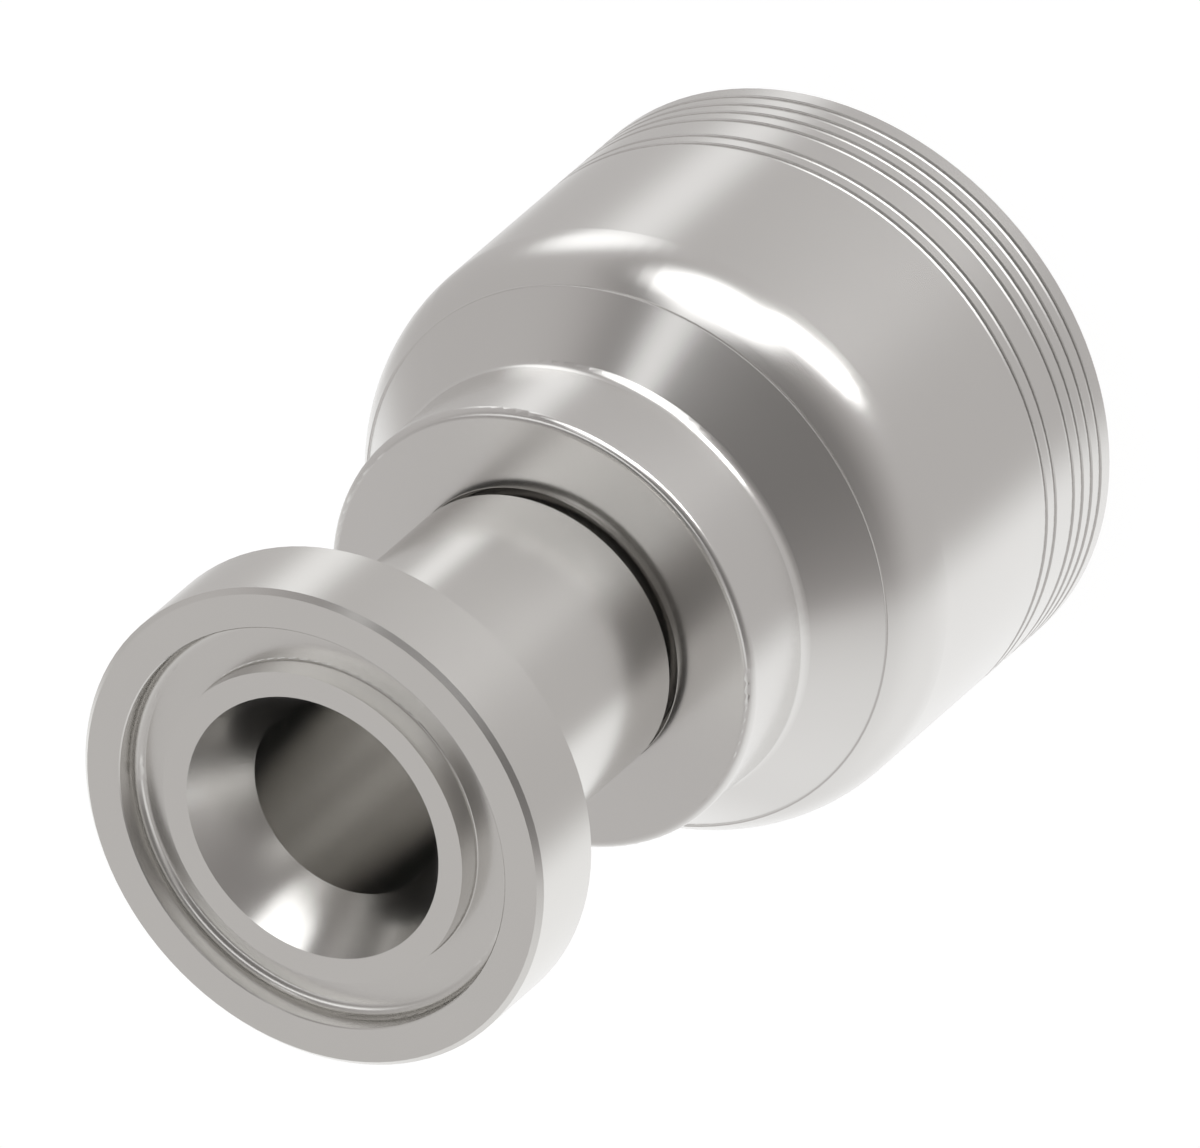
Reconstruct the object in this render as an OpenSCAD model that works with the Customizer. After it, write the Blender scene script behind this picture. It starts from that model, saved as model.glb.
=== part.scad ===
// Crimp hose fitting with a straight flange head: a turned stem and the shell crimped round its tail.
// Upright on the open end of the shell: Z is the common axis, z = 0 the open end, the sealing face on top.

/* [Flange head] */
// Diameter of the head that the split flange clamp holds
head_d = 54; // [30:0.5:90]
// Thickness of the head
head_t = 10.25; // [6:0.05:16]
// Chamfer round the outer edge of the sealing face
head_chamfer = 0.55; // [0.2:0.05:1.2]
// Broken edge on the sharp corners of the head
fine_edge = 0.12; // [0.05:0.01:0.2]
// Fillet between the back of the head and the neck
head_fillet = 1.2; // [0.4:0.1:2]

/* [Seal groove] */
// Outer diameter of the ring groove in the sealing face
groove_od = 45.3; // [42:0.1:48]
// Inner diameter of the ring groove
groove_id = 35.2; // [33:0.1:38]
// Depth of the groove below the outer face
groove_depth = 3.2; // [2:0.05:4]
// Fillet between the floor of the groove and its inner wall
groove_inner_fillet = 0.22; // [0.1:0.02:0.4]
// Fillet between the floor of the groove and its outer wall
groove_outer_fillet = 1.25; // [0.2:0.05:1.8]
// How far the inner land lies below the outer face
land_recess = 0.2; // [0.1:0.05:0.5]

/* [Bore] */
// Diameter of the through bore
bore_d = 21.7; // [14:0.1:24]
// Diameter of the mouth in the inner land
mouth_d = 29.65; // [26:0.05:32]
// Angle between the axis and the wall of the conical mouth
mouth_angle = 30; // [20:1:45]

/* [Neck and lock] */
// Diameter of the plain neck
neck_d = 32.7; // [30:0.1:36]
// Length of the neck behind the head
neck_l = 34.3; // [15:0.1:60]
// Diameter of the floor of the lock groove behind the neck
lock_floor_d = 30.7; // [28:0.1:32]
// Length of the lock groove
lock_l = 8.5; // [7:0.1:12]
// Fillet in the corners of the lock groove
lock_fillet = 0.3; // [0.1:0.05:0.6]
// Diameter of the lock collar behind the groove
lock_d = 37.2; // [35:0.1:40]
// Length of the lock collar
lock_collar_l = 4.4; // [3:0.1:8]

/* [Hose tail] */
// Diameter over the crests of the barbs
barb_d = 31.8; // [30:0.1:34]
// Height of a barb
barb_h = 0.8; // [0.3:0.05:1.2]
// Length of a barb
barb_pitch = 4.4; // [3:0.1:8]
// Number of barbs
barb_count = 9; // [3:1:10]
// Length of the plain stretch between the lock collar and the barbs
tail_root_l = 2; // [1:0.1:5]
// Length of the tapered nose at the end of the tail
nose_l = 3; // [1:0.1:6]

/* [Shell] */
// Outer diameter of the shell
shell_d = 67.25; // [60:0.05:80]
// Length of the shell
shell_l = 58.95; // [50:0.05:80]
// Distance from the end of the neck to the front of the shell
shell_gap = 1.9; // [1:0.1:3]
// Diameter of the collar at the front of the shell
collar_d = 50; // [44:0.1:54]
// Length of the collar, up to where its rear fillet starts
collar_l = 10.05; // [4:0.05:12]
// Radius of the rounded front edge of the collar
collar_round = 0.95; // [0.3:0.05:2]
// Radius of the fillet between the collar and the cone
cone_fillet = 1.9; // [0.5:0.1:4]
// Angle between the axis and the wall of the cone
cone_angle = 39.5; // [34:0.5:50]
// Height of the fine step where the cone meets the shoulder
step_h = 0.2; // [0.1:0.02:0.4]
// Radius of the shoulder that rounds the cone into the cylinder
shoulder_r = 11.85; // [6:0.05:14]

/* [Shell grooves] */
// Number of groove places counted from the open end
mark_count = 7; // [3:1:10]
// Place that is left plain, counted from the open end
mark_plain = 5; // [1:1:10]
// Distance between two grooves
mark_pitch = 1.87; // [1.5:0.01:3]
// Distance from the open end to the first groove
mark_land = 1.98; // [1:0.01:4]
// Width of a groove
mark_w = 0.78; // [0.3:0.02:1]
// Depth of a groove
mark_depth = 0.16; // [0.1:0.01:0.4]
// Slope of the steep side of a groove, from the axis
mark_angle = 70; // [60:1:85]

/* [Hose socket] */
// Diameter of the entry hole in the front of the shell
entry_d = 32.3; // [31:0.1:34]
// Length of the entry hole
entry_l = 1.6; // [1:0.1:3]
// Diameter over the crests of the teeth
teeth_d = 50; // [46:0.1:54]
// Depth of a tooth
teeth_h = 1.8; // [0.5:0.1:3]
// Length of a tooth
teeth_pitch = 5; // [3:0.1:8]
// Number of teeth
teeth_count = 7; // [3:1:9]
// Length of the plain stretch between the teeth and the open end
teeth_end = 3; // [2:0.1:6]
// Chamfer round the open end of the socket
socket_chamfer = 0.8; // [0.3:0.1:1.5]

/* [Fits] */
// Gap left between the shell's lip and the floor of the lock groove, on the radius
lip_gap = 0.05; // [0.02:0.01:0.2]
// Gap left between the shell's lip and the lock collar, along the axis
lip_play = 0.05; // [0.02:0.01:0.2]
// Gap left between the lock collar and the shell, on the radius
lock_clearance = 0.6; // [0.3:0.1:1.5]
// Length of the room left in the shell below the lock collar
lock_room_l = 1.5; // [0.5:0.1:3]

/* [Hidden] */
$fn = 96;
steel = [0.70, 0.69, 0.67];
bright_steel = [0.72, 0.71, 0.69];
// Broken edge on the corners that lie inside
edge = 0.4;
// How far the outlines of what is cut away reach past the metal
over = 1;
// How far the web of a rounded corner reaches past the corner
spare = 0.3;

total_l = shell_l + shell_gap + neck_l + head_t;
head_z = total_l - head_t;
land_z = total_l - land_recess;
groove_z = total_l - groove_depth;
throat_z = land_z - (mouth_d - bore_d) / 2 / tan(mouth_angle);
neck_z = head_z - neck_l;
lock_z = neck_z - lock_l;
tail_z = lock_z - lock_collar_l;
barb_top = tail_z - tail_root_l;
barb_end = barb_top - barb_count * barb_pitch;
nose_z = barb_end - nose_l;

// The shoulder's arc ends where it is as steep as the cone. There the cone lies one fine step lower.
cone_z = shell_l - collar_l - cone_fillet * tan(cone_angle / 2);
step_r = shell_d / 2 - shoulder_r * (1 - cos(cone_angle)) - step_h;
step_z = cone_z - (step_r - collar_d / 2) / tan(cone_angle);
shoulder_c = [shell_d / 2 - shoulder_r, step_z - shoulder_r * sin(cone_angle)];

lip_r = lock_floor_d / 2 + lip_gap;
lip_top = shell_l - entry_l;
lip_z = lock_z + lip_play;
lock_room_r = lock_d / 2 + lock_clearance;
socket_r = teeth_d / 2 + teeth_h;
teeth_top = teeth_end + teeth_count * teeth_pitch;
room_z = tail_z - lock_room_l;
mark_run = mark_depth / tan(mark_angle);

// Centre of a circle of radius r that touches both surfaces of a corner p. An outline comes to the
// corner along the first surface and leaves along the second, which lie at angles a and b from it.
function touching(p, a, b, r) = p + r / sin(abs(b - a) / 2) * [cos((a + b) / 2), sin((a + b) / 2)];

// The points that take the place of such a corner in an outline, so that the circle, once it is
// taken away, leaves a fillet
function fillet_points(p, a, b, r) =
    let (run = r / tan(abs(b - a) / 2))
    [p + run * [cos(a), sin(a)], touching(p, a, b, r), p + run * [cos(b), sin(b)]];

// The web between an outside corner p and the circle that rounds it, with a little more outside
module corner_web(p, a, b, r) {
    points = fillet_points(p, a, b, r);
    way = [cos((a + b) / 2), sin((a + b) / 2)];
    difference() {
        polygon([points[1], points[0], p - spare * way, points[2]]);
        translate(points[1]) circle(r);
    }
}

// Half section of the stem without its bore
module stem_outline() {
    head_r = head_d / 2;
    lock_r = lock_d / 2;
    root_r = barb_d / 2 - barb_h;
    head_corner = [neck_d / 2, head_z];
    lock_top = [lock_floor_d / 2, neck_z];
    lock_end = [lock_floor_d / 2, lock_z];
    difference() {
        polygon(concat(
            [
                [0, total_l], [head_r - head_chamfer, total_l], [head_r, total_l - head_chamfer],
                [head_r, head_z + fine_edge], [head_r - fine_edge, head_z],
            ],
            fillet_points(head_corner, 360, 270, head_fillet),
            [[neck_d / 2, neck_z]],
            fillet_points(lock_top, 360, 270, lock_fillet),
            fillet_points(lock_end, 90, 0, lock_fillet),
            [
                [lock_r - edge, lock_z], [lock_r, lock_z - edge],
                [lock_r, tail_z + edge], [lock_r - edge, tail_z], [root_r, tail_z],
            ],
            [
                for (i = [0:barb_count - 1], point = [[root_r, 0], [root_r + barb_h, barb_h / 2]])
                    [point[0], barb_top - i * barb_pitch - point[1]]
            ],
            [[root_r, barb_end], [root_r - barb_h, nose_z], [0, nose_z]]
        ));
        translate(touching(head_corner, 360, 270, head_fillet)) circle(head_fillet);
        translate(touching(lock_top, 360, 270, lock_fillet)) circle(lock_fillet);
        translate(touching(lock_end, 90, 0, lock_fillet)) circle(lock_fillet);
        corner_web([root_r - barb_h, nose_z], 90 - atan(barb_h / nose_l), 180, 2 * edge);
    }
}

// Turned stem: flange head, neck, lock groove and collar, barbed hose tail and the bore through them all
module stem() {
    color(bright_steel) rotate_extrude()
        difference() {
            stem_outline();
            seal_face();
            bore_section();
        }
}

// What is turned out of the sealing face: the ring groove and the low inner land
module seal_face() {
    outer_r = groove_od / 2;
    inner_r = groove_id / 2;
    difference() {
        polygon([
            [0, land_z], [inner_r, land_z], [inner_r, groove_z], [outer_r, groove_z],
            [outer_r, total_l - fine_edge], [outer_r + fine_edge, total_l],
            [outer_r + fine_edge, total_l + over], [0, total_l + over],
        ]);
        corner_web([inner_r, groove_z], 0, 90, groove_inner_fillet);
        corner_web([outer_r, groove_z], 90, 180, groove_outer_fillet);
    }
}

// Half section of the bore with its conical mouth
module bore_section() {
    bore_r = bore_d / 2;
    lead = (total_l + over - throat_z) * tan(mouth_angle);
    polygon([
        [0, nose_z - over], [bore_r + edge + over, nose_z - over], [bore_r, nose_z + edge],
        [bore_r, throat_z], [bore_r + lead, total_l + over], [0, total_l + over],
    ]);
}

// Half section of the outside of the shell, without its grooves
module shell_outline() {
    step_corner = [step_r, step_z];
    cone_corner = [collar_d / 2, cone_z];
    cone_rise = 90 + cone_angle;
    difference() {
        union() {
            polygon(concat(
                [[0, 0], [shell_d / 2, 0], shoulder_c + [shoulder_r, 0], shoulder_c],
                fillet_points(step_corner, 0, cone_rise, step_h),
                fillet_points(cone_corner, cone_rise - 180, 90, cone_fillet),
                [[collar_d / 2, shell_l], [0, shell_l]]
            ));
            intersection() {
                translate(shoulder_c) circle(shoulder_r);
                square([shell_d / 2 + over, step_z]);
            }
        }
        translate(touching(step_corner, 0, cone_rise, step_h)) circle(step_h);
        translate(touching(cone_corner, cone_rise - 180, 90, cone_fillet)) circle(cone_fillet);
        corner_web([collar_d / 2, shell_l], 180, 270, collar_round);
    }
}

// Half section of the space inside the shell: entry, lip, room for the lock collar and toothed socket
module socket_section() {
    entry_r = entry_d / 2;
    crest_r = teeth_d / 2;
    polygon(concat(
        [
            [0, shell_l + over], [entry_r, shell_l + over], [entry_r, lip_top],
            [lip_r, lip_top - (entry_r - lip_r)], [lip_r, lip_z + lock_fillet],
            [lip_r + lock_fillet, lip_z], [lock_room_r, lip_z], [lock_room_r, room_z],
            [socket_r, teeth_top],
        ],
        [
            for (i = [0:teeth_count - 1], point = [[socket_r, 0], [crest_r, teeth_h / 2]])
                [point[0], teeth_top - i * teeth_pitch - point[1]]
        ],
        [
            [socket_r, teeth_end], [socket_r, socket_chamfer],
            [socket_r + socket_chamfer + over, -over], [0, -over],
        ]
    ));
}

// Section of one fine groove, with its middle at the origin: a steep side towards the open end and
// a slanting side towards the collar
module mark_section() {
    polygon([
        [over, -mark_w / 2], [0, -mark_w / 2], [-mark_depth, mark_run - mark_w / 2],
        [0, mark_w / 2], [over, mark_w / 2],
    ]);
}

// Crimp shell: collar closed round the stem, cone, shoulder and cylinder with the fine grooves
module shell() {
    color(steel) rotate_extrude()
        difference() {
            shell_outline();
            socket_section();
            corner_web([entry_d / 2, shell_l], 270, 360, edge / 2);
            for (i = [1:mark_count])
                if (i != mark_plain)
                    translate([shell_d / 2, mark_land + (i - 1) * mark_pitch]) mark_section();
        }
}

stem();
shell();
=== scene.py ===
"""Straight crimp hose fitting with a flange head: its turned steel, on a white table in soft light."""

from math import cos, radians, sin

import bpy
import numpy as np
from mathutils import Matrix, Vector


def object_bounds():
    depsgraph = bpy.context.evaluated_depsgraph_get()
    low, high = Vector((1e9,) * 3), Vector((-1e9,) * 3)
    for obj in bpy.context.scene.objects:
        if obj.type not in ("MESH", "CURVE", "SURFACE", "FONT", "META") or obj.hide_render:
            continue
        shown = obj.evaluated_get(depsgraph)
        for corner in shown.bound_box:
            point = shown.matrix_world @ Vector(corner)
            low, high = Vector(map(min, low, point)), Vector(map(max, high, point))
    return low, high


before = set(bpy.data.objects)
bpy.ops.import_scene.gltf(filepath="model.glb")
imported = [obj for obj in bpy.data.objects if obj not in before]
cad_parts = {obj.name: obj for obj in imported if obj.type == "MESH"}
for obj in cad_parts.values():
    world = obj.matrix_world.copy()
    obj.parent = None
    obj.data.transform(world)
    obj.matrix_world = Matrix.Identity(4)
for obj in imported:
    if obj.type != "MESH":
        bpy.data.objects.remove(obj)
cad_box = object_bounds()


# The photographer's view. The photograph is a parallel view from 41.4 degrees off the common axis, with the
# sealing face at the lower left, so a very long lens looks at the middle of the fitting from far away and is
# rolled to suit. Counts of pixels are the photograph's own, and a pixel is given in metres.

view_angle = radians(41.38)
page_angle = radians(40.9)
pixel = 0.000102546
picture_width_px = 1200
face_to_middle_px = 381.6
axis_to_middle_px = 3.6

axis = Vector((0, 0, 1))
near_side = Vector((0, -1, 0))
towards = cos(view_angle) * axis + sin(view_angle) * near_side
down_axis = cos(view_angle) * near_side - sin(view_angle) * axis
across = near_side.cross(axis)
right = cos(page_angle) * down_axis + sin(page_angle) * across
up = sin(page_angle) * down_axis - cos(page_angle) * across

lens = bpy.data.cameras.new("long_lens")
lens.lens = 1500
lens.sensor_width = 36
lens.clip_start = 0.5
lens.clip_end = 20
camera = bpy.data.objects.new("camera", lens)
bpy.context.scene.collection.objects.link(camera)
sealing_face = cad_box[1][2] * axis
down_to_middle = face_to_middle_px * pixel / sin(view_angle) * axis
aim = sealing_face - down_to_middle - axis_to_middle_px * pixel * across
stand_off = picture_width_px * pixel * lens.lens / lens.sensor_width
camera.matrix_world = (
    Matrix.Translation(aim + towards * stand_off)
    @ Matrix((right, up, towards)).transposed().to_4x4()
)
bpy.context.scene.camera = camera
bpy.context.scene.view_settings.view_transform = "Standard"


# Stem. One piece of bright steel, turned from bar: the flange head with its chamfer and seal groove, the
# conical mouth and the bore, and the plain neck. The lathe leaves a satin surface, with rings too fine to
# see from a step away.

stem_colour = (0.72, 0.71, 0.69)
satin = 0.22
unevenness = 0.02
cloud_dulling = 0.985
rings_per_metre = 6000
bands_per_metre = 500
clouds_per_metre = 45.0
ring_depth = 0.0001
ring_strength = 0.008


class Tree:
    """The node tree of a material or of the world. add() makes any node in it."""

    def __init__(self, owner):
        owner.use_nodes = True
        self.nodes, self.links = owner.node_tree.nodes, owner.node_tree.links
        self.nodes.clear()

    def add(self, kind, settings=None, sockets=None, out=0):
        """Makes a node of this kind: first its settings, then the values or links of its sockets."""
        node = self.nodes.new(kind)
        for name, value in (settings or {}).items():
            setattr(node, name, value)
        for key, value in (sockets or {}).items():
            if isinstance(value, Signal):
                self.links.new(value.socket, node.inputs[key])
            else:
                node.inputs[key].default_value = value
        return Signal(self, node.outputs[out]) if len(node.outputs) else node


class Signal:
    """A node's output that takes part in Python sums: each operator adds its Math node."""

    def __init__(self, tree, socket):
        self.tree, self.socket = tree, socket

    def math(self, operation, *values):
        """The Math node of this name, with this signal and then the values as its inputs."""
        return self.tree.add("ShaderNodeMath", {"operation": operation}, dict(enumerate([self, *values])))

    def vector(self, operation, *values, out=0):
        """The Vector Math node of this name, with this signal and then the values as its inputs."""
        sockets = dict(enumerate([self, *values]))
        return self.tree.add("ShaderNodeVectorMath", {"operation": operation}, sockets, out)

    def rise(self, start, end):
        """0 below start and 1 above end, with a smooth rise between; end below start turns it round."""
        sockets = {0: self, 1: start, 2: end, 3: 0.0, 4: 1.0}
        return self.tree.add("ShaderNodeMapRange", {"interpolation_type": "SMOOTHSTEP"}, sockets)

    def __add__(self, other):
        return self.math("ADD", other)

    def __sub__(self, other):
        return self.math("SUBTRACT", other)

    def __rsub__(self, other):
        return self.math("MULTIPLY_ADD", -1.0, other)

    def __mul__(self, other):
        return self.math("MULTIPLY", other)

    __radd__, __rmul__ = __add__, __mul__


def turned_steel(name, colour, roughness):
    """Satin turned steel. The turning rings are noise along the outline, at height less radius, which every
    turned surface of the fitting crosses, and the bands are the same on a broader scale. The rings tilt the
    surface a little, and the clouds dull its colour. The roughness is its mean, less one and a half times the
    unevenness, plus the unevenness times the sum of rings, bands and clouds, which average a half each."""
    material = bpy.data.materials.new(name)
    tree = Tree(material)
    place = tree.add("ShaderNodeTexCoord", out=3)
    height = tree.add("ShaderNodeSeparateXYZ", None, {0: place}, out=2)
    radius = place.vector("MULTIPLY", (1, 1, 0)).vector("LENGTH", out=1)
    along = height - radius
    rings = tree.add(
        "ShaderNodeTexNoise",
        {"noise_dimensions": "1D"},
        {"W": along * rings_per_metre, "Detail": 3.0, "Roughness": 0.6},
    )
    bands = tree.add(
        "ShaderNodeTexNoise", {"noise_dimensions": "1D"}, {"W": along * bands_per_metre, "Detail": 2.0}
    )
    clouds = tree.add(
        "ShaderNodeTexNoise", None, {"Vector": place, "Scale": clouds_per_metre, "Detail": 3.0}
    )
    duller = tuple(cloud_dulling * channel for channel in colour)
    tint = tree.add(
        "ShaderNodeMix",
        {"data_type": "RGBA"},
        {0: clouds.rise(0.3, 0.7), 6: (*duller, 1), 7: (*colour, 1)},
        out=2,
    )
    bump = tree.add(
        "ShaderNodeBump", None, {"Strength": ring_strength, "Distance": ring_depth, "Height": rings}
    )
    steel = tree.add(
        "ShaderNodeBsdfPrincipled",
        None,
        {
            "Base Color": tint,
            "Metallic": 1.0,
            "Roughness": roughness - 1.5 * unevenness + unevenness * (rings + bands + clouds),
            "Normal": bump,
        },
    )
    tree.add("ShaderNodeOutputMaterial", None, {"Surface": steel})
    return material


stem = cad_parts["stem"]
stem.material_slots[0].material = turned_steel("stem_steel_turned", stem_colour, satin)


# Shell. One piece of the same steel, turned and then pressed in a ring of jaws round the stem's tail, which
# leaves it as smooth as the stem: collar, cone, rounded shoulder, and six fine grooves near the open end.

shell_colour = (0.715, 0.705, 0.69)
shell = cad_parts["shell"]
shell.material_slots[0].material = turned_steel("shell_steel_turned", shell_colour, satin)


# Table. A matt white board, on which the fitting stands on its open end. The camera sees it as white as the
# backdrop, because most of what it sees is a glow, and only a faint shadow is left round the shell. The
# steel mirrors the studio instead of the board.

white = (1, 1, 1, 1)
board_white = (0.9, 0.9, 0.9, 1)
board_half_width = 4.0
board_glow = 1.15
glow_share = 0.8

corners = board_half_width * np.array([(-1, -1, 0), (1, -1, 0), (1, 1, 0), (-1, 1, 0)])
board = bpy.data.meshes.new("table")
board.from_pydata(corners.tolist(), [], [(0, 1, 2, 3)])
table = bpy.data.objects.new("table", board)
bpy.context.scene.collection.objects.link(table)
table.visible_glossy = False
table.visible_shadow = False
white_board = bpy.data.materials.new("white_board")
tree = Tree(white_board)
seen = tree.add("ShaderNodeLightPath", out=0)
matt = tree.add("ShaderNodeBsdfDiffuse", None, {"Color": board_white})
glow = tree.add("ShaderNodeEmission", None, {"Color": white, "Strength": board_glow})
surface = tree.add("ShaderNodeMixShader", None, {0: seen * glow_share, 1: matt, 2: glow})
tree.add("ShaderNodeOutputMaterial", None, {"Surface": surface})
board.materials.append(white_board)


# Studio. A white room round the fitting, as the photograph's steel mirrors it: grey walls, darkest in front
# of the flange head, a lighter floor, a lamp under the ceiling, soft boxes at the right, a curved strip of
# light in front and a lamp behind. The room's up is the page's up, leant forward to be square to the axis.

sky_lean = radians(30)
sky = cos(sky_lean) * up + sin(sky_lean) * towards
sky = (sky - sky.dot(axis) * axis).normalized()
side = sky.cross(axis)

wall_light = 0.583
wall_foot, floor_edge = -12.8, -28.9
floor_light, floor_rise = 0.842, 0.29
strip_light = 1.2
strip_patch = (-7, 41, 41, 30)
strip_outer_rim, strip_inner_rim = (47, 42), (31, 37)
warm_white = (1, 0.955, 0.935, 1)
warm_below, white_above = 0.2, 1.1

# Each patch of shade or light: the longitude and latitude of its middle, its radius and the width of its
# edge, all in degrees, and how much it takes away or adds.
shades = (
    # In front of the flange head, and beside the lamp under the ceiling
    (22.7, 19, 44.5, 89, 0.405),
    (-100, 82, 24.5, 25, 0.315),
)
lights = (
    # The lamp under the ceiling, a soft light at the left and the two soft boxes at the right
    (160, 87.3, 21.7, 10.3, 2.1),
    (-132.5, 31, 8.8, 19.5, 1.0),
    (127.5, 43.9, 8, 9.3, 4.35),
    (133, 56.7, 8, 9.8, 5.4),
    # Small lights in front of the flange head
    (-18.5, 61.2, 6.2, 6.5, 1.03),
    (-15, -12, 7, 12, 1.0),
    (18, -16, 8, 12, 0.7),
    (26, 2, 7, 12, 0.4),
    # The lamp behind, and a faint glow at either side of the floor
    (-179, 10, 18, 12, 1.6),
    (90, -60, 20, 40, 0.11),
    (-110, -45, 20, 40, 0.11),
)


def facing(longitude, latitude):
    """The direction at this longitude and latitude of the room, whose equator starts at the common axis: the
    latitude's cosine times a turn from axis to side, plus its sine times the sky's direction."""
    lon, lat = radians(longitude), radians(latitude)
    return cos(lat) * (cos(lon) * axis + sin(lon) * side) + sin(lat) * sky


world = bpy.data.worlds.new("studio")
bpy.context.scene.world = world
tree = Tree(world)
ray = tree.add("ShaderNodeTexCoord", out=0)


def along_ray(direction):
    """How far the ray points this way: the cosine of the angle between them."""
    return ray.vector("DOT_PRODUCT", tuple(direction), out=1)


def disc(longitude, latitude, radius, edge):
    """A round patch of the room, in degrees: 1 inside the radius, 0 outside, with an edge of this width."""
    ahead = along_ray(facing(longitude, latitude))
    return ahead.rise(cos(radians(radius + edge / 2)), cos(radians(radius - edge / 2)))


def patches(rows):
    """The sum of round patches, each a disc times its strength."""
    return sum(strength * disc(*place) for *place, strength in rows)


def rim(degrees):
    """A soft rim round the front: 0 at the first of two angles from the axis and 1 at the second."""
    start, end = degrees
    return along_ray(axis).rise(cos(radians(start)), cos(radians(end)))


walls = wall_light - patches(shades)
low = along_ray(sky).rise(sin(radians(wall_foot)), sin(radians(floor_edge)))
ground = floor_light + floor_rise * along_ray(-axis)
strip = strip_light * disc(*strip_patch) * rim(strip_outer_rim) * rim(strip_inner_rim)
room = walls + low * (ground - walls) + strip + patches(lights)
warmth = tree.add(
    "ShaderNodeMix",
    {"data_type": "RGBA"},
    {0: room.rise(warm_below, white_above), 6: warm_white, 7: white},
    out=2,
)
mirrored = tree.add("ShaderNodeBackground", None, {"Color": warmth, "Strength": room})
backdrop = tree.add("ShaderNodeBackground", None, {"Color": white, "Strength": 1.0})
seen = tree.add("ShaderNodeLightPath", out=0)
both = tree.add("ShaderNodeMixShader", None, {0: seen, 1: mirrored, 2: backdrop})
tree.add("ShaderNodeOutputWorld", None, {"Surface": both})
